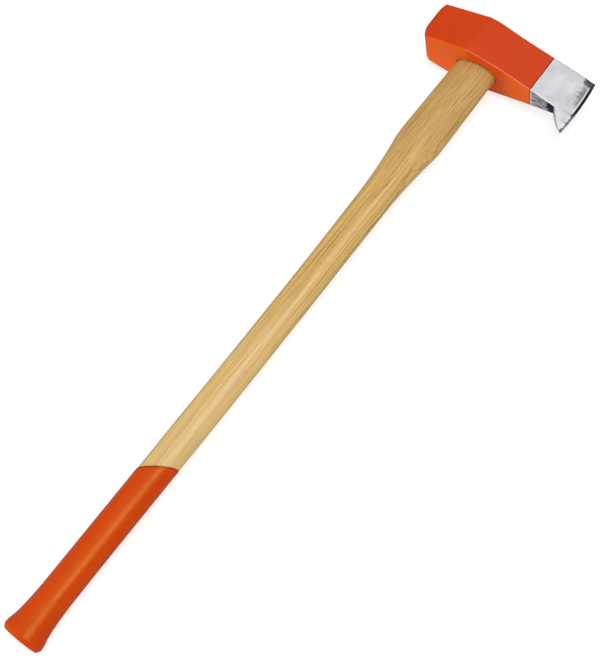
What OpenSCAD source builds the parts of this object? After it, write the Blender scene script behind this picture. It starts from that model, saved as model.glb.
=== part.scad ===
// Splitting maul lying on one cheek.
// +X runs along the handle from butt to head, +Y points to the poll, -Y to the cutting edge, +Z is up.
// The origin is under the middle of the whole maul, on the surface it lies on.

/* [Handle] */
// Overall length, from the butt to the end of the tenon
handle_len = 850; // [700:10:950]
// Sideways bow of the wood at its middle, towards the cutting edge
handle_bow = 2.2; // [0:0.1:3]
// How far the tenon stands out of the top of the head
tenon_proud = 1; // [0.5:0.5:6]

/* [Grip coat] */
// Thickness of the dipped grip coat
coat_thick = 0.5; // [0.3:0.1:1.2]
// Distance from the butt to the middle of the coat's upper edge
dip_len = 208; // [150:1:260]
// Slant of the coat's upper edge: millimetres along the handle for each millimetre across it
dip_slope = 0.66; // [0:0.01:0.8]

/* [Head] */
// Height of the head along the handle
head_height = 55; // [48:0.5:60]
// Greatest thickness, across both cheeks
head_thick = 61; // [54:0.5:68]
// Eye centre to striking face
poll_reach = 79; // [70:0.5:90]
// Thickness at the striking face
poll_thick = 40; // [36:0.5:48]
// Radius of the rounding at the top and bottom of the striking face
crown_r = 27; // [20:1:32]
// Radius of the rounding between the striking face and the cheeks
poll_side_r = 6; // [4:0.5:10]
// Distance from the eye centre to the thickest line of the cheeks, towards the poll
bend_y = 12.5; // [5:0.5:25]
// Width of the facets along the poll's four long edges, at the striking face; they run out at the bend
poll_facet = 3.5; // [1:0.5:6]

/* [Bit] */
// Eye centre to the cutting edge at its middle
edge_reach = 130.2; // [122:0.2:140]
// Radius of the curve of the cutting edge, seen from the side
edge_curve_r = 330; // [230:1:400]
// Length of the final bevel
bevel_len = 3; // [2:0.5:5]
// Half the bit's thickness where the final bevel starts
bevel_half = 1.4; // [1:0.1:2]
// Half the bit's thickness at the blunt cutting edge
edge_half = 0.3; // [0.1:0.1:0.6]
// Slope of the ground face behind the final bevel
grind_slope = 0.33; // [0.28:0.01:0.45]
// How far the nose hooks below the underside of the head
nose_drop = 28.2; // [18:0.1:32]
// Radius of the curved back of the nose
nose_back_r = 80; // [50:1:150]

/* [Eye] */
// Length of the eye at the underside of the head
eye_len = 52.8; // [48:0.2:55]
// Width of the eye at the underside of the head
eye_width = 26.6; // [24:0.2:29]
// Growth of the eye's length from the underside to the top
eye_flare = 3; // [1:0.5:5]
// Gap between the tenon and the eye's wall
eye_gap = 0.05; // [0.02:0.01:0.1]
// Chamfer around the mouth of the eye
eye_chamfer = 1.2; // [0.5:0.1:2]

/* [Wedges] */
// Depth of the saw kerf in the tenon
kerf_depth = 42; // [30:1:48]
// Thickness of the wooden wedge at its blunt tip
wedge_tip = 1.6; // [1:0.1:2.5]
// Thickness of the wooden wedge at the end of the tenon
wedge_butt = 6; // [4:0.5:8]
// Length of the wooden wedge
wedge_len = 40; // [28:1:46]
// Outer diameter of the ring wedge
ring_d = 20; // [16:0.5:22]
// Wall of the ring wedge at the end of the tenon
ring_wall = 2; // [1.5:0.1:3]
// Wall of the ring wedge at its driving edge
ring_edge = 0.8; // [0.5:0.1:1.2]
// Length of the ring wedge
ring_len = 16; // [10:1:20]

/* [Hidden] */
$fn = 96;

paint_colour = [0.80, 0.24, 0.08];
wood_colour = [0.80, 0.64, 0.38];
wedge_colour = [0.70, 0.50, 0.28];
steel_colour = [0.62, 0.63, 0.65];
coat_colour = [0.82, 0.28, 0.08];

// The shapes below are drawn about the handle's line, with X counted from the butt.
head_x = handle_len - tenon_proud - head_height;
handle_y = (edge_reach - poll_reach) / 2;
handle_z = head_thick / 2;

big = 200;
overshoot = 1;

// Stations along the head, from the eye's centre towards the cutting edge
seat_front_y = -30;
bit_y = -74;
nose_root_y = -105.8;
front_y = -edge_reach - overshoot;

// Half the head's thickness at the front of the seat and at the start of the bare bit
seat_front_half = 22.9;
bit_half = 13.6;
bit_slope = (seat_front_half - bit_half) / (seat_front_y - bit_y);

// The underside is flat around the eye and droops from there to the nose; the top falls away from the eye.
bit_droop = 2.15;
nose_root_droop = 4.5;
seat_front_drop = 2.8;
bit_drop = 4.6;
front_drop = 6;

// Height of the edge's foremost point above the underside
edge_mid_x = 6;
// Set-back of the nose's tip from the edge's foremost point
nose_setback = 2;

// Flat part of the striking face: its lowest and highest point above the underside, and half its width
face_low = 21;
face_high = 42;
face_half = poll_thick / 2 - poll_side_r;

eye_ratio = eye_width / eye_len;
tenon_end_len = eye_len + eye_flare * (head_height + tenon_proud) / head_height;

// Rows of the bare handle: distance from the butt, half its depth, half its thickness.
handle_rows = [
    [coat_thick, 20.8, 15.4],
    [5, 23.0, 17.1],
    [9, 22.5, 16.9],
    [18, 20.4, 15.8],
    [30, 19.0, 14.9],
    [55, 17.9, 14.2],
    [100, 17.8, 14.0],
    [200, 18.0, 14.1],
    [250, 18.5, 14.2],
    [470, 18.6, 14.2],
    [560, 19.2, 14.3],
    [600, 19.9, 14.6],
    [640, 23.0, 15.5],
    [682, 27.6, 16.6],
    [735, 27.0, 15.4],
    [head_x, eye_len / 2 - eye_gap, eye_width / 2 - eye_gap],
];
ring_points = 40;
slant_start = 60;
slant_end = 400;
stations = concat(
    [coat_thick, 2.5, 5, 7, 9, 12, 16, 20, 25, 32, 40, 50, slant_start],
    [for (i = [1 : 7]) slant_start + i * (dip_len - slant_start) / 8],
    [dip_len],
    [for (i = [1 : 6]) dip_len + i * (slant_end - dip_len) / 6],
    [for (d = [450 : 50 : 550]) d],
    [for (d = [570 : 15 : 660]) d],
    [for (d = [670 : 7.5 : 700]) d],
    [for (d = [715 : 20 : 775]) d],
    [head_x]);

// Index of the row at or before distance d
function row_before(d, i = 0) =
    i + 2 < len(handle_rows) && handle_rows[i + 1][0] <= d ? row_before(d, i + 1) : i;

// Rate of change between row i and the next, in column c
function rate(i, c) =
    (handle_rows[i + 1][c] - handle_rows[i][c]) / (handle_rows[i + 1][0] - handle_rows[i][0]);

// Slope at row i that never overshoots a row
function row_slope(i, c) =
    i == 0 ? rate(0, c) :
    i == len(handle_rows) - 1 ? rate(i - 1, c) :
    rate(i - 1, c) * rate(i, c) <= 0 ? 0 :
    2 * rate(i - 1, c) * rate(i, c) / (rate(i - 1, c) + rate(i, c));

// Half size of the bare handle at distance d: column 1 is its depth, column 2 its thickness
function half_size(d, c) =
    let (i = row_before(d),
         step = handle_rows[i + 1][0] - handle_rows[i][0],
         t = (d - handle_rows[i][0]) / step)
    handle_rows[i][c] * (2 * t^3 - 3 * t^2 + 1) + handle_rows[i + 1][c] * (3 * t^2 - 2 * t^3)
    + step * (row_slope(i, c) * (t^3 - 2 * t^2 + t) + row_slope(i + 1, c) * (t^3 - t^2));

function smooth_step(t) = let (u = min(max(t, 0), 1)) u^2 * (3 - 2 * u);

// How much of the dip's slant a ring takes: all of it at the coat's edge, none at the knob and the shoulder
function slant_share(d) =
    d <= dip_len ? smooth_step((d - slant_start) / (dip_len - slant_start))
                 : smooth_step((slant_end - d) / (slant_end - dip_len));

// Sideways place of the handle's middle at distance x from the butt
function centre_y(x) = -handle_bow * sin(180 * x / head_x)^2;

// Ring of points around the handle at station d, raised off the wood by lift
function ring(d, lift = 0) = [
    for (i = [0 : ring_points - 1])
        let (a = 360 * i / ring_points,
             x = d - slant_share(d) * dip_slope * half_size(dip_len, 1) * cos(a))
        [x - (d == coat_thick ? lift : 0),
         centre_y(x) + (half_size(x, 1) + lift) * cos(a),
         (half_size(x, 2) + lift) * sin(a)]
];

// Oval of the eye or tenon at distance x from the butt, len long, on the handle's line
function oval(x, len) = [
    for (i = [0 : ring_points - 1])
        let (a = 360 * i / ring_points)
        [x, len / 2 * cos(a), len / 2 * eye_ratio * sin(a)]
];

// Closed skin through a list of rings, each with ring_points points
module skin(rings) {
    last = len(rings) - 1;
    polyhedron(
        points = [for (r = rings) each r],
        faces = concat(
            [[for (j = [0 : ring_points - 1]) j]],
            [for (i = [0 : last - 1], j = [0 : ring_points - 1])
                let (k = (j + 1) % ring_points, a = i * ring_points, b = a + ring_points)
                each [[a + j, b + j, b + k], [a + j, b + k, a + k]]],
            [[for (j = [ring_points - 1 : -1 : 0]) last * ring_points + j]]),
        convexity = 4);
}

// Puts a shape drawn about the handle's line in the maul's own frame
module place() {
    translate([-handle_len / 2, handle_y, handle_z]) children();
}

// Outline of the head across its cheeks: X is along the head towards the poll, Y is its thickness
module plan_outline() {
    cheek = [
        [poll_reach, poll_thick / 2], [bend_y, head_thick / 2], [seat_front_y, seat_front_half],
        [front_y, bit_half - bit_slope * (bit_y - front_y)]];
    intersection() {
        polygon(concat(cheek, [for (i = [len(cheek) - 1 : -1 : 0]) [cheek[i][0], -cheek[i][1]]]));
        rounded_end(face_half, -face_half, poll_side_r);
    }
}

// Outline of the head from its side: X is along the head towards the poll, Y is along the handle
module side_outline() {
    top = head_height;
    intersection() {
        polygon(concat(
            [[poll_reach, 0], [poll_reach, top], [0, top], [seat_front_y, top - seat_front_drop],
             [bit_y, top - bit_drop], [front_y, top - front_drop], [front_y, -nose_drop]],
            nose_back(),
            [[bit_y, -bit_droop], [seat_front_y, 0]]));
        rounded_end(face_high, face_low, crown_r);
    }
}

// Everything up to the striking face, whose flat runs from low to high and rounds off beyond
module rounded_end(high, low, r) {
    translate([-big, -big]) square([big + poll_reach - r, 2 * big]);
    translate([-big, low]) square([big + poll_reach, high - low]);
    for (y = [high, low]) translate([poll_reach - r, y]) circle(r);
}

// Points of the bulging back of the nose, from its tip to its root
function nose_back() =
    let (tip = [nose_setback - edge_reach, -nose_drop],
         root = [nose_root_y, -nose_root_droop],
         chord = root - tip,
         half = norm(chord) / 2,
         mid = (tip + root) / 2,
         depth = sqrt(nose_back_r^2 - half^2),
         centre = mid + depth * [-chord[1], chord[0]] / norm(chord),
         from = atan2(tip[1] - centre[1], tip[0] - centre[0]),
         to = atan2(root[1] - centre[1], root[0] - centre[0]))
    [for (i = [0 : 10]) centre + nose_back_r * [cos(from + i * (to - from) / 10),
                                                 sin(from + i * (to - from) / 10)]];

// Body swept by the curved cutting edge: its ground faces and its final bevels
module edge_form() {
    r = edge_curve_r;
    centre_half = bevel_half + grind_slope * (r - bevel_len);
    translate([head_x + edge_mid_x, r - edge_reach, 0]) rotate_extrude($fn = 180)
        polygon([
            [0, -centre_half], [r - bevel_len, -bevel_half], [r, -edge_half],
            [r, edge_half], [r - bevel_len, bevel_half], [0, centre_half]]);
}

// What the facets along the poll's four long edges take away, from the bend to past the striking face
module poll_facet_waste() {
    run = poll_reach - bend_y;
    taper = atan((head_thick - poll_thick) / 2 / run);
    sink = atan(poll_facet / sqrt(2) / run);
    for (side = [0, 1], end = [0, 1])
        mirror([0, 0, side]) translate([head_x + end * head_height, bend_y, head_thick / 2])
            mirror([end, 0, 0]) rotate([-taper, 0, 0]) rotate([0, -45, 0]) rotate([-sink, 0, 0])
                translate([-big / 2, 0, 0]) cube(big);
}

// Oval hole through the head, wider at the top, with a chamfered mouth
module eye() {
    slope = eye_flare / head_height;
    scale([1, 1, eye_ratio]) translate([head_x, 0, 0]) rotate([0, 90, 0]) {
        translate([0, 0, -overshoot])
            cylinder(h = head_height + 2 * overshoot,
                     d1 = eye_len - slope * overshoot, d2 = eye_len + eye_flare + slope * overshoot);
        translate([0, 0, -overshoot])
            cylinder(h = overshoot + eye_chamfer,
                     d1 = eye_len + 2 * (eye_chamfer + overshoot), d2 = eye_len);
    }
}

// Tapered slot along the eye: the saw kerf opened by the wooden wedge
module kerf(depth) {
    tip = wedge_tip / 2;
    butt = wedge_butt / 2;
    translate([handle_len, 0, 0]) rotate([90, 0, 0]) linear_extrude(big, center = true)
        polygon([[-depth, tip], [-wedge_len, tip], [0, butt], [0, -butt], [-wedge_len, -tip],
                 [-depth, -tip]]);
}

module ring_form() {
    r = ring_d / 2;
    translate([handle_len, 0, 0]) rotate([0, -90, 0]) rotate_extrude()
        polygon([[r - ring_wall, 0], [r, 0], [r - (ring_wall - ring_edge) / 2, ring_len],
                 [r - (ring_wall + ring_edge) / 2, ring_len]]);
}

module head() color(paint_colour) place() difference() {
    intersection() {
        translate([head_x - big / 2, 0, 0]) rotate([0, 90, 0]) rotate([0, 0, 90])
            linear_extrude(big) plan_outline();
        translate([head_x, 0, -big / 2]) rotate([0, 0, 90]) mirror([0, 1, 0])
            linear_extrude(big) side_outline();
        edge_form();
    }
    poll_facet_waste();
    eye();
}

module handle() color(wood_colour) place() difference() {
    skin(concat([for (d = stations) ring(d)], [oval(handle_len, tenon_end_len - 2 * eye_gap)]));
    kerf(kerf_depth);
    ring_form();
}

module eye_wedge() color(wedge_colour) place() difference() {
    intersection() {
        kerf(wedge_len);
        skin([oval(head_x, eye_len - 2 * eye_gap), oval(handle_len, tenon_end_len - 2 * eye_gap)]);
    }
    ring_form();
}

module ring_wedge() color(steel_colour) place() ring_form();

module grip_coat() color(coat_colour) place() {
    covered = [for (d = stations) if (d <= dip_len) d];
    count = len(covered);
    skin(concat([for (d = covered) ring(d, coat_thick)],
                [for (i = [count - 1 : -1 : 0]) ring(covered[i])]));
}

head();
handle();
eye_wedge();
ring_wedge();
grip_coat();
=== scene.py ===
"""Splitting maul: detailed pieces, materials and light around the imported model. Metres, in the row frame."""

import math

import bmesh
import bpy
import numpy as np
from mathutils import Matrix, Vector


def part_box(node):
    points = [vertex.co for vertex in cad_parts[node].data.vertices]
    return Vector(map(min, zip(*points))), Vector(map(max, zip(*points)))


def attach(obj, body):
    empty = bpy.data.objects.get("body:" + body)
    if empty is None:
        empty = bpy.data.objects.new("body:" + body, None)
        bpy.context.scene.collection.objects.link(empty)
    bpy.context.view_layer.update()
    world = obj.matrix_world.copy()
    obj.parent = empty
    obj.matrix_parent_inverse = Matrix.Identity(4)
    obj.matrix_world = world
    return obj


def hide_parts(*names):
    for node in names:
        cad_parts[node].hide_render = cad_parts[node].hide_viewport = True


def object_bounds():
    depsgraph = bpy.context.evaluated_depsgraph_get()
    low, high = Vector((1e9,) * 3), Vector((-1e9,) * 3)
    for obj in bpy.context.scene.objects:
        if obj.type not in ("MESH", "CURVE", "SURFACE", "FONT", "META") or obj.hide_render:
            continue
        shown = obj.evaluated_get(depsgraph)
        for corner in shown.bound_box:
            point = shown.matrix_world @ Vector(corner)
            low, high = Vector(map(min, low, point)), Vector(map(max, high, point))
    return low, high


MM = 0.001

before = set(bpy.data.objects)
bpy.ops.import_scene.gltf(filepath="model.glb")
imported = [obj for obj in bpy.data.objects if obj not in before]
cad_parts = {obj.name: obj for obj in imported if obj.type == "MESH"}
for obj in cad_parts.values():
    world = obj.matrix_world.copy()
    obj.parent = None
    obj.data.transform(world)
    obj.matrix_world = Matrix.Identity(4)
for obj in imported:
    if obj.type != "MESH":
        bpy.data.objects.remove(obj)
cad_low, cad_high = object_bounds()

# Shapes are drawn in millimetres, with X from the knob's end and the handle's line as Y and Z zero.
head_low, head_high = (np.array(corner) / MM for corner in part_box("head"))
BUTT_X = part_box("grip_coat")[0][0] / MM
TENON_TOP = cad_high[0] / MM - BUTT_X
HEAD_HEIGHT = 55.0
TENON_PROUD = 1.0
HEAD_X = TENON_TOP - TENON_PROUD - HEAD_HEIGHT
POLL_REACH = 79.0
HANDLE_Y = head_high[1] - POLL_REACH
HANDLE_Z = (head_low[2] + head_high[2]) / 2


# ---------------------------------------------------------------- meshes

WELD_DISTANCE = 1e-6


def place(points):
    """Points drawn about the handle's line, in millimetres, as metres in the row frame."""
    return (np.asarray(points, float) + [BUTT_X, HANDLE_Y, HANDLE_Z]) * MM


def sharpen(piece, sharp_deg=40):
    """Smooth shading, except at edges that turn by more than an angle."""
    piece.data.shade_smooth()
    piece.data.set_sharp_from_angle(angle=math.radians(sharp_deg))


def new_piece(name, points, faces, sharp_deg=40):
    """A mesh object with merged doubles, outward normals and sharp edges above an angle."""
    mesh = bpy.data.meshes.new(name)
    mesh.from_pydata([tuple(p) for p in points], [], faces)
    work = bmesh.new()
    work.from_mesh(mesh)
    bmesh.ops.remove_doubles(work, verts=work.verts, dist=WELD_DISTANCE)
    bmesh.ops.recalc_face_normals(work, faces=work.faces)
    work.to_mesh(mesh)
    work.free()
    piece = bpy.data.objects.new(name, mesh)
    sharpen(piece, sharp_deg)
    bpy.context.scene.collection.objects.link(piece)
    return piece


def loft(rings, closed_loop=False):
    """Faces of a tube through rings of equal size; it is capped unless the rings close on themselves."""
    count, size = len(rings), len(rings[0])
    faces = []
    for i in range(count if closed_loop else count - 1):
        a, b = i * size, (i + 1) % count * size
        for j in range(size):
            k = (j + 1) % size
            faces.append((a + j, a + k, b + k, b + j))
    if not closed_loop:
        faces.append(tuple(range(size)))
        faces.append(tuple(range((count - 1) * size, count * size))[::-1])
    return faces


def lofted(name, rings, sharp_deg=40, closed_loop=False):
    """A piece that is a tube through rings drawn in millimetres."""
    return new_piece(name, place(np.concatenate(rings)), loft(rings, closed_loop), sharp_deg)


def cut(piece, cutter, operation="DIFFERENCE"):
    """Applies an exact boolean and removes the cutter."""
    boolean = piece.modifiers.new("cut", "BOOLEAN")
    boolean.operation = operation
    boolean.solver = "EXACT"
    boolean.object = cutter
    depsgraph = bpy.context.evaluated_depsgraph_get()
    mesh = bpy.data.meshes.new_from_object(piece.evaluated_get(depsgraph), depsgraph=depsgraph)
    piece.modifiers.clear()
    piece.data = mesh
    bpy.data.objects.remove(cutter)


def smooth_step(t):
    """0 up to 0, 1 from 1, and a smooth rise between."""
    t = np.clip(t, 0, 1)
    return t * t * (3 - 2 * t)


# ---------------------------------------------------------------- head
# The side outline is drawn as (y, x): y is positive at the poll and x is the height above the underside.

CROWN_R = 27.0
CROWN_Y = POLL_REACH - CROWN_R
FACE_LOW, FACE_HIGH = 21.0, 42.0
EDGE_R, EDGE_MID, EDGE_REACH = 330.0, 6.0, 130.2
EDGE_CENTRE = EDGE_R - EDGE_REACH
NOSE_DROP, NOSE_BACK_R = 28.2, 80.0
NOSE_TIP, NOSE_ROOT = np.array([2 - EDGE_REACH, -NOSE_DROP]), np.array([-105.8, -4.5])
HEAD_SHARP = 32

# Stations along Y: past the edge, the paint's end, where the taper steepens, and the thickest line.
FRONT_Y, BIT_Y, WAIST_Y, BEND_Y = -140.0, -74.0, -30.0, 12.5
BIT_HALF, WAIST_HALF, BEND_HALF, POLL_HALF = 13.6, 22.9, 30.5, 20.0
WEDGE_SLOPE = (WAIST_HALF - BIT_HALF) / (WAIST_Y - BIT_Y)
CHEEK_Y = [FRONT_Y, BIT_Y, WAIST_Y, BEND_Y, POLL_REACH]
CHEEK_HALF = [BIT_HALF - (BIT_Y - FRONT_Y) * WEDGE_SLOPE, BIT_HALF, WAIST_HALF, BEND_HALF, POLL_HALF]
CHEEK_SLOPES = np.diff(CHEEK_HALF) / np.diff(CHEEK_Y)
CHEEK_FILLET = 3.5

# The ground edge: a short bevel at the front, then a grind that blends into the cheeks.
EDGE_HALF, BEVEL_HALF, BEVEL_LEN = 0.3, 1.4, 3.0
GRIND_SLOPE, GRIND_BLEND = 0.33, 0.8
PAINT_THICK, PAINT_LIP = 0.14, 0.3

BOTTOM_LINE = [(BIT_Y, -2.15), (WAIST_Y, 0)]
TOP_LINE = [(0, HEAD_HEIGHT), (WAIST_Y, 52.2), (BIT_Y, 50.4), (FRONT_Y, 48.8)]
LOW_CORNER = np.array([CROWN_Y + math.sqrt(CROWN_R**2 - FACE_LOW**2), 0.0])
HIGH_CORNER = np.array([CROWN_Y + math.sqrt(CROWN_R**2 - (HEAD_HEIGHT - FACE_HIGH) ** 2), HEAD_HEIGHT])
BOTTOM_ROUND, TOP_ROUND = 9.0, 2.0
SIDE_SHARE = 0.45
EDGE_SHARE = 0.75

# Spacing of the grid's lines at the outline, and where the grid bends to follow the poll and the edge.
FINE = np.array([0, 0.06, 0.22, 0.45, 0.75, 1.15, 1.65, 2.2, 2.8, 3.5, 4.3, 5.2, 6.2])
ROW_STEP = 2.0
BLEND_Y, TO_EDGE_Y, SPLIT_Y, GRID_END = 60.0, -80.0, -95.0, -130.0
BEND_POWER = 1.5
WALL_STEPS = 10


def arc(centre, radius, start, end, count):
    """Points along an arc between two angles in degrees."""
    angles = np.radians(np.linspace(start, end, count))
    return np.c_[centre[0] + radius * np.cos(angles), centre[1] + radius * np.sin(angles)]


def edge_y(x):
    """How far forward the cutting edge is at height x above the head's underside."""
    return EDGE_CENTRE - np.sqrt(EDGE_R**2 - (x - EDGE_MID) ** 2)


def top_x(y):
    """Height of the head's top at y."""
    return np.interp(y, *zip(*TOP_LINE[::-1]))


def rounded(points, radius, count=7):
    """A polyline with its inner corners turned into short curves.

    Each starts radius before its corner, or nearer where a side is too short for that.
    """
    points = [np.array(p, float) for p in points]
    out = [points[0]]
    for before, corner, after in zip(points, points[1:], points[2:]):
        back, on = before - corner, after - corner
        back_len, on_len = np.linalg.norm(back), np.linalg.norm(on)
        reach = min(radius, SIDE_SHARE * back_len, SIDE_SHARE * on_len)
        start = corner + back / back_len * reach
        end = corner + on / on_len * reach
        for t in np.linspace(0, 1, count):
            out.append((1 - t) ** 2 * start + 2 * t * (1 - t) * corner + t**2 * end)
    out.append(points[-1])
    return np.array(out)


def nose_back():
    """The back of the nose, from its tip on the cutting edge to its root."""
    chord = NOSE_ROOT - NOSE_TIP
    half = np.linalg.norm(chord) / 2
    depth = math.sqrt(NOSE_BACK_R**2 - half**2)
    centre = (NOSE_TIP + NOSE_ROOT) / 2 - depth * np.array([chord[1], -chord[0]]) / (2 * half)
    start = math.degrees(math.atan2(*(NOSE_TIP - centre)[::-1]))
    end = math.degrees(math.atan2(*(NOSE_ROOT - centre)[::-1]))
    points = arc(centre, NOSE_BACK_R, start, end, 90)
    return points[points[:, 0] > edge_y(points[:, 1])]


def along(path, share):
    """The point at each share of a path's length."""
    steps = np.r_[0, np.cumsum(np.linalg.norm(np.diff(path, axis=0), axis=1))]
    steps /= steps[-1]
    return np.c_[np.interp(share, steps, path[:, 0]), np.interp(share, steps, path[:, 1])]


def from_edges(length, fine, step):
    """Shares of a length, fine near both ends and even between."""
    inner = np.arange(fine[-1] + step, length - fine[-1] - step * 0.5, step)
    inner = np.linspace(fine[-1], length - fine[-1], max(2, len(inner) + 2))[1:-1]
    return np.r_[fine, inner, length - fine[::-1]] / length


def outline():
    """The head's side outline without its cutting edge, from the nose's tip round the poll to the top corner.

    It comes as five runs: the nose's back, the underside, the poll's lower and upper curves, and the top.
    The corners take the place of the last few points of each curve that they join.
    """
    back_trim, low_trim, high_trim = 5, 8, 3
    back = nose_back()
    low_start = math.degrees(math.atan2(-FACE_LOW, LOW_CORNER[0] - CROWN_Y))
    high_end = math.degrees(math.atan2(HEAD_HEIGHT - FACE_HIGH, HIGH_CORNER[0] - CROWN_Y))
    low_arc = arc((CROWN_Y, FACE_LOW), CROWN_R, low_start, 0, 24)
    high_arc = arc((CROWN_Y, FACE_HIGH), CROWN_R, 0, high_end, 18)
    # The top line's end and the cutting edge meet after a few rounds.
    front = -EDGE_REACH
    for _ in range(8):
        front = edge_y(top_x(front))
    low_corners = [back[-1], *BOTTOM_LINE, LOW_CORNER]
    high_corners = [HIGH_CORNER, *TOP_LINE[:3]]
    bottom = rounded([back[-back_trim - 1], *low_corners, low_arc[low_trim]], BOTTOM_ROUND)
    top = rounded([high_arc[-high_trim], *high_corners, (front, top_x(front))], TOP_ROUND)
    return [back[:-back_trim], bottom[1:-1], low_arc[low_trim:], high_arc[:-high_trim], top[1:]]


def near_path(points, path):
    """For each point, its distance from a path and how far along the path it is nearest."""
    start, step = path[:-1], np.diff(path, axis=0)
    length = np.maximum(np.linalg.norm(step, axis=1), 1e-9)
    walked = np.r_[0, np.cumsum(length)]
    offset = points[:, None, :] - start[None]
    t = np.clip((offset * step[None]).sum(2) / length[None] ** 2, 0, 1)
    gap = np.linalg.norm(offset - t[..., None] * step[None], axis=2)
    nearest = gap.argmin(1)
    rows = np.arange(len(points))
    return gap[rows, nearest], walked[nearest] + t[rows, nearest] * length[nearest]


def soft_min(a, b, width):
    """The smaller of two values, blended where they differ by less than width."""
    h = np.clip(0.5 + 0.5 * (b - a) / width, 0, 1)
    return b * (1 - h) + a * h - width * h * (1 - h)


def half_thickness(y, x):
    """Half the head's thickness before its edges are rounded."""
    cheek = np.interp(y, CHEEK_Y, CHEEK_HALF)
    for bend, before, after in zip(CHEEK_Y[2:4], CHEEK_SLOPES[1:3], CHEEK_SLOPES[2:4]):
        gap = np.clip(1 - np.abs(y - bend) / CHEEK_FILLET, 0, 1)
        cheek -= (before - after) * CHEEK_FILLET / 4 * gap**2
    inward = EDGE_R - np.hypot(y - EDGE_CENTRE, x - EDGE_MID)
    bevel = EDGE_HALF + np.clip(inward, 0, BEVEL_LEN) / BEVEL_LEN * (BEVEL_HALF - EDGE_HALF)
    ground = np.where(inward < BEVEL_LEN, bevel, BEVEL_HALF + (inward - BEVEL_LEN) * GRIND_SLOPE)
    half = np.where(inward < BEVEL_LEN - 0.5, bevel, soft_min(cheek, ground, GRIND_BLEND))
    return half - PAINT_THICK * smooth_step((BIT_Y - y) / PAINT_LIP + 0.5)


def stations():
    """Y of the grid's lines from the poll to the edge, close together wherever the surface bends."""
    body = [(POLL_REACH - 8, 24, 22), (21, 4, 18), (1.5, -20, 10), (-22.5, -37.5, 11), (-40, -72, 15)]
    bit = [(-76, -95, 10), (-96, -126, 46)]
    paint_end = BIT_Y + np.array([0.5, 0.15, 0.05, -0.05, -0.15, -0.5])
    edge_end = GRID_END + 3.4 * np.array([1, 0.84, 0.7, 0.55, 0.42, 0.3, 0.2, 0.12, 0.06, 0.02, 0])
    return np.concatenate([
        POLL_REACH - FINE, *(np.linspace(*run) for run in body), paint_end,
        *(np.linspace(*run) for run in bit), edge_end])


def head_grid(bottom, poll, top):
    """Points over the head's side view, one line for each station, from the underside to the top."""
    nominal = stations()
    bottom_by_y = bottom[np.argsort(bottom[:, 0])]
    nose = np.r_[bottom[bottom[:, 0] < SPLIT_Y], [[SPLIT_Y, np.interp(SPLIT_Y, *bottom_by_y.T)]]][::-1]
    front = np.r_[[[SPLIT_Y, top_x(SPLIT_Y)]], top[top[:, 0] < SPLIT_Y]]
    low, high = [], []
    for y in nominal:
        if y < SPLIT_Y:
            share = (SPLIT_Y - y) / (SPLIT_Y - GRID_END)
            low.append(along(nose, share)[0])
            high.append(along(front, share)[0])
            continue
        share = (y - BLEND_Y) / (POLL_REACH - BLEND_Y)
        y_low = y_high = y
        if share > 0:
            y_low, y_high = (BLEND_Y + share * (end[0] - BLEND_Y) for end in (poll[0], poll[-1]))
        low.append((y_low, np.interp(y_low, *bottom_by_y.T)))
        high.append((y_high, np.interp(y_high, *top[::-1].T)))
    low, high = np.array(low), np.array(high)
    share = from_edges(HEAD_HEIGHT, FINE, ROW_STEP)
    grid = low[:, None] * (1 - share)[None, :, None] + high[:, None] * share[None, :, None]

    # The straight lines bend towards the poll's outline at one end and the cutting edge at the other.
    edge_x = low[-1, 1] * (1 - share) + high[-1, 1] * share
    to_poll_line = along(poll, share) - grid[0]
    to_edge_line = np.c_[edge_y(edge_x), edge_x] - grid[-1]
    to_poll = np.clip((nominal - BLEND_Y) / (POLL_REACH - BLEND_Y), 0, 1) ** BEND_POWER
    to_edge = np.clip((TO_EDGE_Y - nominal) / (TO_EDGE_Y - GRID_END), 0, 1) ** BEND_POWER
    grid += to_poll[:, None, None] * to_poll_line[None]
    grid += to_edge[:, None, None] * to_edge_line[None]
    return grid


def plate(grid, half):
    """Points and faces of a closed plate: a cheek on each side of the grid and a wall round its rim."""
    columns, rows = half.shape
    points, index, faces = [], {}, []

    def vertex(i, j, level):
        """Index of grid point (i, j) at a level from -1, the lower cheek, to 1, the upper."""
        key = (i, j, round(level, 6))
        if key not in index:
            index[key] = len(points)
            y, x = grid[i, j]
            points.append((HEAD_X + x, y, half[i, j] * level))
        return index[key]

    for i in range(columns - 1):
        for j in range(rows - 1):
            corners = [(i, j), (i + 1, j), (i + 1, j + 1), (i, j + 1)]
            faces.append([vertex(a, b, 1.0) for a, b in corners])
            faces.append([vertex(a, b, -1.0) for a, b in corners][::-1])
    rim = [(i, 0) for i in range(columns)]
    rim += [(columns - 1, j) for j in range(1, rows)]
    rim += [(i, rows - 1) for i in range(columns - 2, -1, -1)]
    rim += [(0, j) for j in range(rows - 2, 0, -1)]
    levels = np.linspace(1, -1, WALL_STEPS + 1)
    for a, b in zip(rim, rim[1:] + rim[:1]):
        for upper, lower in zip(levels, levels[1:]):
            faces.append([vertex(*a, upper), vertex(*a, lower), vertex(*b, lower), vertex(*b, upper)])
    return points, faces


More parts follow.
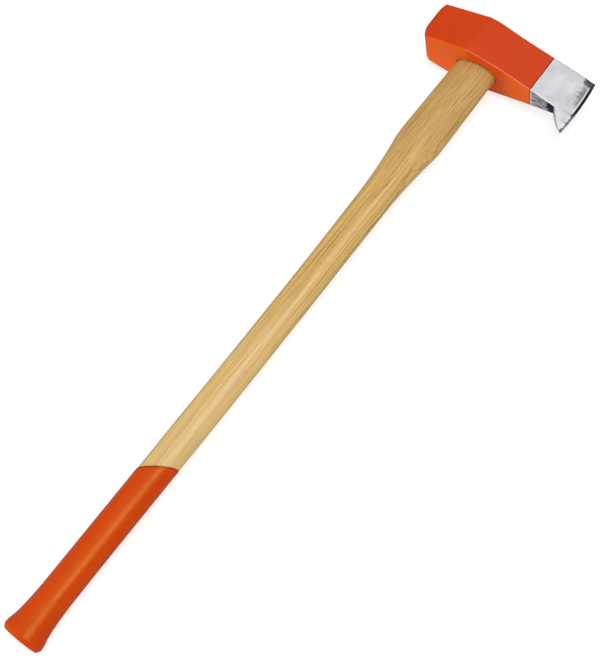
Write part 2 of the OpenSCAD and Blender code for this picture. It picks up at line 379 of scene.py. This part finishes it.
def build_head():
    """The forging: a plate as thick as the cheeks, with rounded edges and the eye cut through it."""
    runs = outline()
    path = np.concatenate(runs)
    starts = np.cumsum([0] + [len(run) for run in runs])
    walked = np.r_[0, np.cumsum(np.linalg.norm(np.diff(path, axis=0), axis=1))]
    poll = path[starts[2] - 1: starts[4] + 1]
    grid = head_grid(path[: starts[2]], poll, path[starts[4]:])

    # Rounding radius along the outline: sharp on the wedge, growing from the bend to the poll, and never more
    # than a share of the half thickness.
    poll_low, poll_high = walked[starts[2] - 1], walked[starts[4]]
    bend_low = poll_low - (poll[0][0] - BEND_Y)
    bend_high = poll_high + (poll[-1][0] - BEND_Y)
    rounding = [(0.0, 1.0), (walked[starts[1]], 1.6), (bend_low - 4, 0.9), (bend_low, 1.0), (poll_low, 5.6),
                (poll_high, 2.2), (bend_high, 1.6), (bend_high + 4, 1.5), (walked[-1], 1.3)]
    flat = grid.reshape(-1, 2)
    gap, where = near_path(flat, path)
    half = half_thickness(*flat.T)
    radius = np.minimum(np.interp(where, *zip(*rounding)), EDGE_SHARE * half)
    sunk = np.clip(1 - gap / radius, 0, 1)
    half = half - radius * (1 - np.sqrt(1 - sunk**2))
    points, faces = plate(grid, half.reshape(grid.shape[:2]))
    piece = new_piece("head_forging", place(points), faces, HEAD_SHARP)
    cut(piece, eye_cutter())
    sharpen(piece, HEAD_SHARP)
    return piece


EYE_LEN, EYE_WIDTH, EYE_FLARE, EYE_CHAMFER = 52.8, 26.6, 3.0, 1.2
EYE_SLOPE = EYE_FLARE / HEAD_HEIGHT
EYE_GAP = 0.05
RING_POINTS = 96


def oval(x, length, grow=0.0):
    """A ring of the eye's proportions at x, offset outwards by grow."""
    angles = np.linspace(0, 2 * np.pi, RING_POINTS, endpoint=False)
    ratio = EYE_WIDTH / EYE_LEN
    return np.c_[np.full(RING_POINTS, x), (length / 2 + grow) * np.cos(angles),
                 (length / 2 * ratio + grow) * np.sin(angles)]


def tenon_ring(x, grow=0.0):
    """The tenon's outline at height x above the head's underside."""
    return oval(HEAD_X + x, EYE_LEN - 2 * EYE_GAP + EYE_SLOPE * x, grow)


def eye_cutter():
    """The eye with its rounded mouth below and its small chamfer above, as (height, growth) stops."""
    stops = [(-1, 1 + EYE_CHAMFER), (0, EYE_CHAMFER), (0.25, 0.8), (0.6, 0.42), (EYE_CHAMFER, 0.12), (2.2, 0),
             (HEAD_HEIGHT - 1, 0), (HEAD_HEIGHT, 1), (HEAD_HEIGHT + 1, 2)]
    return lofted("eye_cutter", [oval(HEAD_X + x, EYE_LEN + EYE_SLOPE * x, grow) for x, grow in stops])


# ---------------------------------------------------------------- handle, wedges and coat

COAT_THICK = 0.5
DIP_LEN, DIP_SLOPE = 208.0, 0.66
SLANT_START, SLANT_END = 60, 400
BOW = 2.2

# Distance from the butt, half depth and half thickness of the bare handle.
HANDLE_ROWS = np.array([
    [COAT_THICK, 20.8, 15.4], [5, 23.0, 17.1], [9, 22.5, 16.9], [18, 20.4, 15.8], [30, 19.0, 14.9],
    [55, 17.9, 14.2], [100, 17.8, 14.0], [200, 18.0, 14.1], [250, 18.5, 14.2], [470, 18.6, 14.2],
    [560, 19.2, 14.3], [600, 19.9, 14.6], [640, 23.0, 15.5], [682, 27.6, 16.6], [735, 27.0, 15.4],
    [HEAD_X, EYE_LEN / 2 - EYE_GAP, EYE_WIDTH / 2 - EYE_GAP]])
DEPTH, THICKNESS = 1, 2

# The wooden wedge, the kerf that it fills, and the ring wedge.
WEDGE_LEN, WEDGE_BUTT, WEDGE_TIP, WEDGE_REACH = 40.0, 5.96, 1.56, 30.0
KERF_DEPTH, KERF_PLAY = 42.0, 0.04
RING_IN, RING_OUT, RING_LEN, RING_TAPER, RING_PLAY = 8.0, 10.0, 16.0, 0.6, 0.02
CUT_PAST = 2.0


def row_slopes(column):
    """Slopes at the handle's rows that never overshoot a row."""
    rate = np.diff(HANDLE_ROWS[:, column]) / np.diff(HANDLE_ROWS[:, 0])
    inner = [0 if a * b <= 0 else 2 * a * b / (a + b) for a, b in zip(rate, rate[1:])]
    return np.array([rate[0], *inner, rate[-1]])


SLOPES = {column: row_slopes(column) for column in (DEPTH, THICKNESS)}


def half_size(d, column):
    """Half depth or half thickness of the bare handle at distance d from the butt."""
    d = np.clip(np.asarray(d, float), HANDLE_ROWS[0, 0], HANDLE_ROWS[-1, 0])
    i = np.clip(np.searchsorted(HANDLE_ROWS[:, 0], d, side="right") - 1, 0, len(HANDLE_ROWS) - 2)
    step = HANDLE_ROWS[i + 1, 0] - HANDLE_ROWS[i, 0]
    t = (d - HANDLE_ROWS[i, 0]) / step
    value, slope = HANDLE_ROWS[:, column], SLOPES[column]
    return (value[i] * (2 * t**3 - 3 * t**2 + 1) + value[i + 1] * (3 * t**2 - 2 * t**3)
            + step * (slope[i] * (t**3 - 2 * t**2 + t) + slope[i + 1] * (t**3 - t**2)))


def centre_y(x):
    """Y of the bowed handle's middle."""
    return -BOW * np.sin(np.pi * np.clip(x / HEAD_X, 0, 1)) ** 2


def slant_share(d):
    """How much of the dip's slant a ring takes."""
    if d <= DIP_LEN:
        return smooth_step((d - SLANT_START) / (DIP_LEN - SLANT_START))
    return smooth_step((SLANT_END - d) / (SLANT_END - DIP_LEN))


def handle_ring(d, lift=0.0, scale=1.0):
    """A ring round the handle at distance d, scaled and then lifted off the wood."""
    angles = np.linspace(0, 2 * np.pi, RING_POINTS, endpoint=False)
    x = d - slant_share(d) * DIP_SLOPE * half_size(DIP_LEN, DEPTH) * np.cos(angles)
    return np.c_[x, centre_y(x) + (half_size(x, DEPTH) * scale + lift) * np.cos(angles),
                 (half_size(x, THICKNESS) * scale + lift) * np.sin(angles)]


def flat_ring(x, lift=0.0, scale=1.0):
    """The butt's ring, moved flat to x."""
    ring = handle_ring(COAT_THICK, lift, scale)
    ring[:, 0] = x
    return ring


def spread(*runs):
    """Distances in order from runs of (start, end, count)."""
    return np.unique(np.concatenate([np.linspace(*run) for run in runs]))


def build_handle():
    """The wood from the knob's end to the tenon's, with the kerf and the ring wedge's slot cut in it."""
    distances = spread((COAT_THICK, 30, 20), (30, 60, 12), (60, DIP_LEN, 30), (DIP_LEN, 400, 36),
                       (400, 560, 30), (560, 760, 60), (760, HEAD_X, 10))
    rings = [handle_ring(d) for d in distances]
    rings += [tenon_ring(x) for x in (10, 20, 30, 40, 50, 53, HEAD_HEIGHT)]
    rings += [tenon_ring(HEAD_HEIGHT + 0.6, -0.15), tenon_ring(HEAD_HEIGHT + TENON_PROUD, -0.5)]
    piece = lofted("handle_wood", rings)
    cut(piece, wedge_block("kerf_cutter", KERF_DEPTH, KERF_PLAY, CUT_PAST))
    cut(piece, ring_slot())
    sharpen(piece)
    return piece


def wedge_block(name, depth, play=0.0, past=0.0):
    """A wedge along the eye, from a depth below the tenon's end to past it, widened by some play."""
    slope = (WEDGE_BUTT - WEDGE_TIP) / WEDGE_LEN
    stops = [(-depth, WEDGE_TIP), (-WEDGE_LEN, WEDGE_TIP), (past, WEDGE_BUTT + past * slope)]
    rings = []
    for x, width in stops:
        corners = ((-1, -1), (1, -1), (1, 1), (-1, 1))
        rings.append([(TENON_TOP + x, y * WEDGE_REACH, z * (width + play) / 2) for y, z in corners])
    return lofted(name, rings)


def build_eye_wedge():
    """The wooden wedge, kept within the tenon's outline and cut by the ring wedge."""
    block = wedge_block("eye_wedge_wood", WEDGE_LEN)
    end = tenon_ring(HEAD_HEIGHT + TENON_PROUD, -0.35)
    end[:, 0] += 0.5
    cut(block, lofted("wedge_limit", [tenon_ring(0), tenon_ring(HEAD_HEIGHT - 0.5), end]), "INTERSECT")
    cut(block, ring_slot())
    sharpen(block, 30)
    return block


def revolved(name, profile):
    """A ring about the handle's line through points of (radius, height above the tenon's end)."""
    angles = np.linspace(0, 2 * np.pi, 72, endpoint=False)
    rings = [[(TENON_TOP + x, r * math.cos(a), r * math.sin(a)) for r, x in profile] for a in angles]
    return lofted(name, rings, 30, closed_loop=True)


def ring_slot():
    """The cutter for the ring wedge's slot, which runs out past the tenon's end."""
    inner, outer = RING_IN - RING_PLAY, RING_OUT + RING_PLAY
    return revolved("ring_slot", [
        (inner, CUT_PAST), (inner, 0.0), (inner + RING_TAPER, -RING_LEN), (outer - RING_TAPER, -RING_LEN),
        (outer, 0.0), (outer, CUT_PAST)])


def build_ring_wedge():
    """A steel tube that thins towards its driving edge and has a rounded top."""
    lips = [(0.0, -0.5), (0.3, -0.12), (0.55, 0.0)]
    return revolved("ring_wedge_steel", [
        (RING_IN, -0.5), (RING_IN + RING_TAPER, -RING_LEN), (RING_OUT - RING_TAPER, -RING_LEN),
        *((RING_OUT - inset, x) for inset, x in lips), *((RING_IN + inset, x) for inset, x in lips[:0:-1])])


def build_coat():
    """The dip coat: a thin cup over the knob and grip, with a soft upper lip."""
    corner = 1.0
    rings = [flat_ring(0.0, scale=scale) for scale in (0.02, 0.25, 0.5, 0.75, 0.88)]
    for angle in np.radians(np.linspace(0, 90, 8)):
        rings.append(flat_ring(corner * (1 - math.cos(angle)), COAT_THICK - corner * (1 - math.sin(angle))))
    for d in spread((2.4, 30, 24), (30, 60, 12), (60, DIP_LEN - 1.2, 30)):
        rings.append(handle_ring(d, COAT_THICK))
    for below, lift in ((0.7, 0.46), (0.35, 0.38), (0.1, 0.24), (0.0, 0.05)):
        rings.append(handle_ring(DIP_LEN - below, lift))
    for d in spread((COAT_THICK, 5, 5), (5, 60, 12), (60, DIP_LEN - 0.2, 12))[::-1]:
        rings.append(handle_ring(d))
    return lofted("grip_dip_coat", rings, 50)


# ---------------------------------------------------------------- materials


class Nodes:
    """Short names for building a procedural material around one Principled shader. Places are in metres."""

    def __init__(self, name):
        self.material = bpy.data.materials.new(name)
        self.material.use_nodes = True
        self.tree = self.material.node_tree
        self.shader = self.tree.nodes["Principled BSDF"]
        coordinates = self.tree.nodes.new("ShaderNodeTexCoord").outputs
        self.position, self.normal = coordinates["Object"], coordinates["Normal"]

    def feed(self, socket, value):
        """Links an output to a socket, or sets the socket's own value."""
        if isinstance(value, bpy.types.NodeSocket):
            self.tree.links.new(value, socket)
        else:
            socket.default_value = value

    def node(self, kind, inputs=(), **settings):
        """A new node with its settings made and its inputs fed."""
        made = self.tree.nodes.new(kind)
        for key, value in settings.items():
            setattr(made, key, value)
        for key, value in dict(inputs).items():
            self.feed(made.inputs[key], value)
        return made

    def math(self, operation, a, b=0.0):
        return self.node("ShaderNodeMath", {0: a, 1: b}, operation=operation).outputs[0]

    def plus(self, a, b):
        return self.math("ADD", a, b)

    def minus(self, a, b):
        return self.math("SUBTRACT", a, b)

    def times(self, a, b):
        return self.math("MULTIPLY", a, b)

    def diagonal(self, a, b):
        """The length of the diagonal of a rectangle a by b."""
        return self.math("SQRT", self.plus(self.times(a, a), self.times(b, b)))

    def offset(self, axis, start):
        """How far along one of the object's own axes a point lies from a start in millimetres."""
        place_along = self.node("ShaderNodeSeparateXYZ", {"Vector": self.position}).outputs[axis]
        return self.minus(place_along, start * MM)

    def facing(self, axis):
        """The surface normal's share along one of the object's own axes."""
        return self.node("ShaderNodeSeparateXYZ", {"Vector": self.normal}).outputs[axis]

    def noise(self, scale, detail=4.0, rough=0.55, distortion=0.0, seed=0.0, vector=None):
        """Noise in the object's own space, or a vector's, stretched along the axes whose scale is small."""
        mapped = self.node("ShaderNodeMapping", {
            "Vector": self.position if vector is None else vector, "Scale": scale,
            "Location": (seed, seed, seed)})
        made = self.node("ShaderNodeTexNoise", {
            "Vector": mapped.outputs["Vector"], "Scale": 1.0, "Detail": detail, "Roughness": rough,
            "Distortion": distortion})
        return made.outputs["Fac"]

    def swing(self, noise, size):
        """Noise made into a distance about zero, where size in millimetres is that from 0 to 1."""
        return self.times(self.minus(noise, 0.5), size * MM)

    def between(self, value, low, high):
        """0 below low, 1 above high, smooth between; low may be the larger."""
        made = self.node("ShaderNodeMapRange", {
            "Value": value, "From Min": low, "From Max": high, "To Min": 0.0, "To Max": 1.0},
            interpolation_type="SMOOTHSTEP")
        return made.outputs["Result"]

    def between_mm(self, distance, low, high):
        """The same for a distance, with its limits in millimetres."""
        return self.between(distance, low * MM, high * MM)

    def mix(self, share, a, b):
        """Colour a where share is 0 and b where it is 1."""
        made = self.node("ShaderNodeMix", data_type="RGBA")
        colours = [socket for socket in made.inputs if socket.type == "RGBA"]
        self.feed(made.inputs["Factor"], share)
        for socket, colour in zip(colours, (a, b)):
            self.feed(socket, colour if isinstance(colour, bpy.types.NodeSocket) else (*colour, 1))
        return [socket for socket in made.outputs if socket.type == "RGBA"][0]

    def over(self, base, colour, mask, strength):
        """A colour laid over a base where a mask is 1, at a strength."""
        return self.mix(self.times(mask, strength), base, colour)

    def mix_value(self, share, a, b):
        """Value a where share is 0 and b where it is 1."""
        made = self.node("ShaderNodeMix", {"Factor": share, "A": a, "B": b}, data_type="FLOAT")
        return made.outputs["Result"]

    def bump(self, height, strength, depth):
        """A normal from a height, where depth is in millimetres."""
        inputs = {"Height": height, "Strength": strength, "Distance": depth * MM}
        return self.node("ShaderNodeBump", inputs).outputs["Normal"]

    def set(self, **sockets):
        """Feeds the shader's sockets, named with _ for each space, and gives the finished material."""
        for key, value in sockets.items():
            self.feed(self.shader.inputs[key.replace("_", " ")], value)
        return self.material


def head_paint(n, y, past, blotch, down, under):
    """Orange-red paint, painted lighter and more orange underneath, with painted highlights and shade, and a
    dark end line.
    """
    paint = n.mix(n.between(blotch, 0.35, 0.65), (0.580, 0.047, 0.0035), (0.620, 0.052, 0.0042))
    speck = n.between(n.noise((900, 900, 900), 2.0, seed=3.0), 0.62, 0.75)
    paint = n.over(paint, (0.45, 0.034, 0.005), speck, 0.2)
    # The underside's lighter, more orange paint is painted light; round the handle it is deeper, a painted
    # shadow of the handle.
    handle_shadow = n.times(n.between_mm(y, -50, -32), n.between_mm(y, 14, 9))
    lit_underside_paint = n.over((0.690, 0.096, 0.0015), (0.560, 0.056, 0.0030), handle_shadow, 0.75)
    paint = n.mix(under, paint, lit_underside_paint)
    # A painted highlight lies in light paint along the wedge's long lower edges.
    slanted = n.times(n.between(down, -0.15, -0.40), n.between(down, -0.92, -0.72))
    edge_highlight = n.times(slanted, n.between_mm(y, 16, 8))
    paint = n.over(paint, (0.88, 0.22, 0.12), edge_highlight, 0.75)
    paint = n.over(paint, (0.17, 0.010, 0.008), n.between_mm(past, 1.8, 0.7), 0.85)
    # Painted shade darkens the paint in the gap round the handle.
    eye_y = n.math("DIVIDE", y, (EYE_LEN / 2 + 0.5) * MM)
    eye_z = n.math("DIVIDE", n.offset("Z", HANDLE_Z), (EYE_WIDTH / 2 + 0.5) * MM)
    dirt_and_gap_shade = n.between(n.diagonal(eye_y, eye_z), 1.035, 1.0)
    return n.mix(dirt_and_gap_shade, paint, (0.030, 0.010, 0.006))


def ground_steel(n, x, past, inward, brush, cloud, smudge, ragged):
    """Brushed and smudged steel, and a mask of its edge, where a dark reflection is painted black."""
    steel = n.mix(n.between(cloud, 0.3, 0.7), (0.66, 0.65, 0.68), (0.78, 0.77, 0.80))
    steel = n.over(steel, (0.50, 0.50, 0.53), n.between(brush, 0.45, 0.8), 0.35)
    dirt_and_gap_shade = n.times(n.between(smudge, 0.46, 0.68), n.between_mm(inward, 26, 6))
    steel = n.over(steel, (0.30, 0.30, 0.34), dirt_and_gap_shade, 0.45)
    # A blue-grey smudge behind the upper half of the edge, and a light line between them.
    combed = n.plus(ragged, n.swing(n.noise((420, 40, 420), 3.0, 0.6, seed=7.0), 18))
    upper = n.times(n.between_mm(x, 4, 16), n.between_mm(x, 42, 34))
    behind = n.times(n.between_mm(inward, 3.6, 5.2), n.between_mm(n.plus(inward, combed), 12.5, 6))
    steel = n.over(steel, (0.19, 0.19, 0.24), n.times(upper, behind), 0.85)
    shine = n.between_mm(n.math("ABSOLUTE", n.minus(inward, 3.7 * MM)), 0.9, 0.3)
    shine_strength = n.mix_value(n.between_mm(x, 10, -6), 0.7, 0.35)
    steel = n.over(steel, (0.92, 0.92, 0.94), shine, shine_strength)
    # A painted dark reflection makes the edge black, turning grey and ragged towards the nose.
    low_end = n.between_mm(x, 6, -8)
    band = n.mix_value(low_end, 3.1 * MM, n.plus(n.times(combed, 0.4), 2.6 * MM))
    dark_reflection_edge = n.between_mm(n.minus(inward, band), 0.4, -0.3)
    steel = n.over(steel, (0.009, 0.009, 0.010), dark_reflection_edge, n.mix_value(low_end, 1.0, 0.78))
    # A dark patch at the top corner, and a light rim along the paint.
    corner = n.times(n.between_mm(n.plus(x, ragged), 38, 42.5), n.between_mm(n.plus(inward, ragged), 13, 9.5))
    steel = n.over(steel, (0.045, 0.045, 0.043), corner, 0.92)
    steel = n.over(steel, (0.88, 0.87, 0.88), n.between_mm(past, -1.6, -0.3), 0.7)
    return steel, dark_reflection_edge


def forge_scale(n, x, past, ragged, under):
    """Streaky grey scale, light along the paint and down the nose, and blackest at the nose's root."""
    streaky = n.between(n.noise((60, 70, 320), 3.0, seed=2.0), 0.46, 0.60)
    scale = n.over((0.40, 0.39, 0.43), (0.10, 0.10, 0.13), streaky, 0.8)
    scale = n.over(scale, (0.72, 0.71, 0.73), n.between_mm(past, -3.0, -1.2), 0.6)
    root = n.times(n.between_mm(n.plus(past, ragged), -21, -26), under)
    scale = n.mix(root, scale, (0.020, 0.020, 0.024))
    return n.over(scale, (0.74, 0.73, 0.76), n.between_mm(x, -7, -16), 0.85)


def head_material():
    """Paint on the body, and ground steel on the bit with forge scale on its underside and top."""
    n = Nodes("painted_and_ground_steel")
    x, y = n.offset("X", BUTT_X + HEAD_X), n.offset("Y", HANDLE_Y)
    # How far a point is behind the paint's wavering end, and in from the cutting edge.
    wobble = n.swing(n.noise((60, 60, 60), 3.0), 1.2)
    past = n.minus(n.plus(y, wobble), BIT_Y * MM)
    inward = n.minus(EDGE_R * MM, n.diagonal(n.minus(x, EDGE_MID * MM), n.minus(y, EDGE_CENTRE * MM)))
    painted = n.between_mm(past, -0.06, 0.06)
    down = n.facing("X")
    under = n.between(down, -0.45, -0.75)
    unground = n.math("MAXIMUM", under, n.between(down, 0.15, 0.5))

    blotch = n.noise((14, 14, 14), 3.0)
    brush = n.noise((900, 55, 900), 5.0, 0.7)
    cloud = n.noise((38, 70, 60), 4.0, 0.6, seed=5.0)
    smudge = n.noise((110, 60, 90), 5.0, 0.65, distortion=0.6, seed=11.0)
    ragged = n.swing(smudge, 16)
    paint = head_paint(n, y, past, blotch, down, under)
    steel, dark_reflection_edge = ground_steel(n, x, past, inward, brush, cloud, smudge, ragged)
    steel = n.mix(unground, steel, forge_scale(n, x, past, ragged, under))

    peel = n.noise((420, 420, 420), 2.0)
    forge = n.noise((55, 55, 55), 3.0, seed=9.0)
    height = n.mix_value(painted, n.times(brush, 0.5), n.plus(n.times(peel, 0.35), forge))
    steel_rough = n.mix_value(n.between(cloud, 0.3, 0.7), 0.42, 0.30)
    paint_rough = n.mix_value(n.between(blotch, 0.3, 0.7), 0.36, 0.44)
    bare = n.minus(1.0, painted)
    metallic = n.times(n.mix_value(unground, 0.75, 0.35), n.mix_value(dark_reflection_edge, 1.0, 0.2))
    return n.set(
        Base_Color=n.mix(painted, steel, paint), Roughness=n.mix_value(painted, steel_rough, paint_rough),
        Specular_IOR_Level=0.18, Metallic=n.times(bare, metallic), Normal=n.bump(height, 0.35, 0.22))


def wood_material(name, light, dark, streak, gloss, pale=0.0, soft=1.0):
    """Straight-grained wood whose grain runs along X, with end grain where it is cut across.

    The light and dark bands carry thin streaks. Towards the grip the streaks' strength is multiplied by soft,
    and a paler colour is laid over the wood at a strength of pale.
    """
    n = Nodes(name)
    x = n.offset("X", BUTT_X)
    sway = n.noise((5, 16, 16), 2.0, seed=4.0)
    warp = n.node("ShaderNodeCombineXYZ", {"Y": n.times(sway, 9 * MM), "Z": n.times(sway, 5 * MM)})
    moved = n.node("ShaderNodeVectorMath", {0: n.position, 1: warp.outputs["Vector"]}, operation="ADD")
    grain = {"rough": 0.6, "vector": moved.outputs["Vector"]}
    bands = n.noise((1.2, 150, 60), 3.0, **grain)
    lines = n.noise((2.4, 620, 320), 3.0, seed=2.0, **grain)
    dashes = n.noise((8.0, 950, 600), 2.0, seed=9.0, **grain)
    pores = n.noise((55.0, 1800, 1200), 2.0, seed=6.0, **grain)
    colour = n.mix(n.between(bands, 0.34, 0.66), light, dark)
    far = n.between_mm(x, 520, 250)
    streaks = [(lines, 0.52, 0.63, 0.55), (dashes, 0.54, 0.60, 0.85), (pores, 0.56, 0.70, 0.4)]
    for pattern, start, end, strength in streaks:
        softened = n.mix_value(far, strength, strength * soft)
        colour = n.over(colour, streak, n.between(pattern, start, end), softened)
    warm = n.noise((7, 30, 30), 2.0, seed=8.0)
    colour = n.over(colour, (0.60, 0.33, 0.14), n.between(warm, 0.5, 0.75), 0.2)
    colour = n.over(colour, (0.80, 0.62, 0.34), far, pale)
    # The wood is darker and less glossy towards the head.
    neck, top = n.between_mm(x, 560, 680), n.between_mm(x, 730, HEAD_X)
    colour = n.mix(n.plus(n.times(neck, 0.30), n.times(top, 0.22)), colour, (0.42, 0.235, 0.075))
    rough = n.plus(n.mix_value(n.between(lines, 0.4, 0.7), gloss, gloss + 0.14), n.times(neck, 0.22))
    height = n.minus(n.times(lines, 0.6), n.times(n.between(pores, 0.6, 0.72), 0.5))
    return n.set(Base_Color=colour, Roughness=rough, Specular_IOR_Level=0.5, Normal=n.bump(height, 0.3, 0.15))


def coat_material():
    """Glossy dipped plastic with faint runs, and at its slanted end a painted shade line under a thin lip with
    a painted highlight.
    """
    n = Nodes("orange_dip_coat")
    runs = n.noise((6, 60, 60), 3.0)
    mottle = n.noise((90, 90, 90), 3.0, seed=3.0)
    colour = n.mix(n.between(runs, 0.35, 0.65), (0.570, 0.043, 0.0010), (0.615, 0.055, 0.0014))
    colour = n.over(colour, (0.48, 0.040, 0.0035), n.between(mottle, 0.5, 0.7), 0.25)
    slanted = n.plus(n.offset("X", BUTT_X), n.times(n.offset("Y", HANDLE_Y), DIP_SLOPE))
    below = n.minus(DIP_LEN * MM, slanted)
    # Painted shade lies in a dark line just under the lip, and a painted highlight along the lip itself.
    lip_shade = n.times(n.between_mm(below, 1.0, 1.8), n.between_mm(below, 3.8, 2.6))
    colour = n.over(colour, (0.26, 0.020, 0.003), lip_shade, 0.8)
    colour = n.over(colour, (0.80, 0.28, 0.10), n.between_mm(below, 0.9, 0.4), 0.6)
    height = n.plus(runs, n.times(mottle, 0.25))
    return n.set(
        Base_Color=colour, Roughness=n.mix_value(n.between(mottle, 0.35, 0.65), 0.30, 0.38),
        Specular_IOR_Level=0.5, Specular_Tint=(1.0, 0.80, 0.20, 1.0), Normal=n.bump(height, 0.3, 0.4))


def ring_material():
    """Scratched steel with a little rust."""
    n = Nodes("ring_steel")
    scratch = n.noise((60, 900, 900), 4.0, 0.7)
    scratched = n.between(scratch, 0.35, 0.7)
    rust = n.between(n.noise((160, 160, 160), 4.0, seed=5.0), 0.55, 0.72)
    colour = n.over(n.mix(scratched, (0.55, 0.56, 0.58), (0.36, 0.36, 0.38)), (0.20, 0.10, 0.05), rust, 0.35)
    return n.set(
        Base_Color=colour, Roughness=n.mix_value(scratched, 0.34, 0.5), Metallic=0.9,
        Normal=n.bump(scratch, 0.3, 0.1))


def floor_material():
    """A pale matt floor, lit from within so that shadows stay faint, more so beyond the lamps."""
    n = Nodes("pale_floor")
    tone = n.noise((3, 3, 3), 3.0)
    colour = n.mix(n.between(tone, 0.3, 0.7), (0.30, 0.30, 0.30), (0.32, 0.32, 0.32))
    from_middle = n.node("ShaderNodeVectorMath", {0: n.position}, operation="LENGTH").outputs["Value"]
    glow = n.mix_value(n.between(from_middle, 1.0, 3.5), 0.76, 1.0)
    return n.set(
        Base_Color=colour, Roughness=0.8, Emission_Color=(1.0, 1.0, 1.0, 1.0), Emission_Strength=glow)


# ---------------------------------------------------------------- the maul

HICKORY = wood_material(
    "varnished_hickory", light=(0.720, 0.465, 0.150), dark=(0.620, 0.378, 0.102),
    streak=(0.350, 0.190, 0.050), gloss=0.34, pale=0.25, soft=0.62)
WEDGE_WOOD = wood_material(
    "wedge_hardwood", light=(0.470, 0.270, 0.110), dark=(0.340, 0.180, 0.065),
    streak=(0.180, 0.090, 0.030), gloss=0.6)
PIECES = [
    (build_head, head_material(), "head", "head_paint"),
    (build_handle, HICKORY, "handle", "handle_wood"),
    (build_eye_wedge, WEDGE_WOOD, "eye_wedge", "wedge_wood"),
    (build_ring_wedge, ring_material(), "ring_wedge", "wedge_steel"),
    (build_coat, coat_material(), "grip_coat", "grip_coat"),
]
for build, material, node, slot in PIECES:
    piece = build()
    piece.data.materials.clear()
    piece.data.materials.append(material)
    for polygon in piece.data.polygons:
        polygon.material_index = 0
    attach(piece, "root")
    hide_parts(node)

# ---------------------------------------------------------------- floor, light and camera

# The maul rests on the head's lower cheek and on the knob, whose lowest point is higher, so the floor slopes.
FLOOR_HALF = 6.0
FLOOR_GAP = 0.2 * MM
KNOB_TOUCH = 6 * MM
knob_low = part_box("grip_coat")[0]
head_touch_x = (BUTT_X + HEAD_X) * MM
knob_touch_x = knob_low[0] + KNOB_TOUCH
floor_slope = -knob_low[2] / (head_touch_x - knob_touch_x)
floor_points = []
for side_x, side_y in ((-1, -1), (1, -1), (1, 1), (-1, 1)):
    x, y = side_x * FLOOR_HALF, side_y * FLOOR_HALF
    floor_points.append((x, y, (x - head_touch_x) * floor_slope - FLOOR_GAP))
floor_mesh = bpy.data.meshes.new("floor")
floor_mesh.from_pydata(floor_points, [], [(0, 1, 2, 3)])
floor = bpy.data.objects.new("floor", floor_mesh)
floor.data.materials.append(floor_material())
bpy.context.scene.collection.objects.link(floor)
floor.visible_glossy = False


def area_light(name, place_at, aim, size, energy, colour=(1, 1, 1), mirrored=True):
    """A rectangular light that the camera never sees. One that isn't mirrored gives no highlights."""
    data = bpy.data.lights.new(name, "AREA")
    data.shape = "RECTANGLE"
    data.size, data.size_y = size
    data.energy = energy
    data.color = colour
    light = bpy.data.objects.new(name, data)
    light.location = place_at
    light.rotation_euler = (Vector(aim) - Vector(place_at)).to_track_quat("-Z", "Y").to_euler()
    light.visible_camera = False
    light.visible_glossy = mirrored
    bpy.context.scene.collection.objects.link(light)


area_light("key", place_at=(-3.0, 0.55, 0.5), aim=(0.3, 0, 0), size=(1.2, 0.8), energy=43,
           colour=(1.0, 0.97, 0.92), mirrored=False)
area_light("strip", place_at=(-0.05, -0.50, 1.6), aim=(-0.05, 0, 0), size=(1.5, 0.6), energy=13.5)
area_light("top", place_at=(0.1, 0.2, 2.4), aim=(0, 0, 0), size=(2.6, 2.4), energy=26, mirrored=False)
area_light("head_top", place_at=(1.7, -0.5, 2.3), aim=(0.4, -0.05, 0), size=(1.6, 1.6), energy=6.5)

# The surroundings look white but light the maul only dimly.
WORLD_DIM, WORLD_WHITE = 0.25, 1.0
world = bpy.data.worlds.new("studio")
world.use_nodes = True
world_nodes, world_links = world.node_tree.nodes, world.node_tree.links
world_nodes["Background"].inputs["Color"].default_value = (1.0, 1.0, 1.0, 1)
seen = world_nodes.new("ShaderNodeMapRange")
seen.inputs["To Min"].default_value = WORLD_DIM
seen.inputs["To Max"].default_value = WORLD_WHITE
world_links.new(world_nodes.new("ShaderNodeLightPath").outputs["Is Camera Ray"], seen.inputs["Value"])
world_links.new(seen.outputs["Result"], world_nodes["Background"].inputs["Strength"])
bpy.context.scene.world = world
bpy.context.scene.view_settings.view_transform = "Standard"

CAMERA_RIGHT = Vector((0.59723, -0.78434, -0.16765))
CAMERA_DOWN = Vector((-0.75498, -0.47919, -0.44761))
CAMERA_FORWARD = Vector((0.27075, 0.39391, -0.87837))
CAMERA_PLACE = Vector((-0.31926, -0.45234, 1.0335))
CAMERA_LENS, CAMERA_SENSOR = 59.07, 36
camera_data = bpy.data.cameras.new("camera")
camera_data.lens = CAMERA_LENS
camera_data.sensor_width = CAMERA_SENSOR
camera = bpy.data.objects.new("camera", camera_data)
camera.matrix_world = (
    Matrix.Translation(CAMERA_PLACE)
    @ Matrix((CAMERA_RIGHT, -CAMERA_DOWN, -CAMERA_FORWARD)).transposed().to_4x4())
bpy.context.scene.collection.objects.link(camera)
bpy.context.scene.camera = camera
